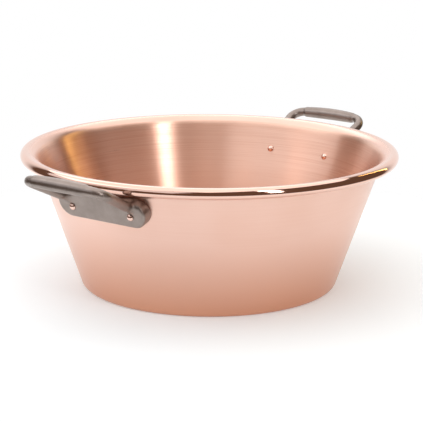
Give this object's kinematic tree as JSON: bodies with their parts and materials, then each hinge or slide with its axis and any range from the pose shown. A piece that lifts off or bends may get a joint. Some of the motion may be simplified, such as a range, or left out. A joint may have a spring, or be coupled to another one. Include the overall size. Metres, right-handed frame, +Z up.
{
  "type": "copper jam pan",
  "caption": "Open flared preserving pan of sheet copper with a rolled, wired rim, a flat base and two riveted cast bronze loop handles standing up and out from the wall",
  "frame": {"origin": "middle of the flat base, on the surface the pan stands on", "axes": "+Z up, the two handles lie along X, Y runs across"},
  "size_m": [0.4656, 0.38, 0.1466],
  "materials": {
    "copper_sheet": "brushed copper sheet, satin outside and inside, brighter on the rolled rim",
    "rim_steel": "plain steel wire, hidden in the rim",
    "handle_bronze": "satin dark grey-brown patinated cast bronze",
    "rivet_copper": "polished domed copper rivet heads"
  },
  "bodies": {
    "root": {"bowl": "copper_sheet", "rim_wire": "rim_steel", "left_handle": "handle_bronze", "right_handle": "handle_bronze", "left_rivet_front": "rivet_copper", "left_rivet_back": "rivet_copper", "right_rivet_front": "rivet_copper", "right_rivet_back": "rivet_copper"}
  },
  "joints": []
}
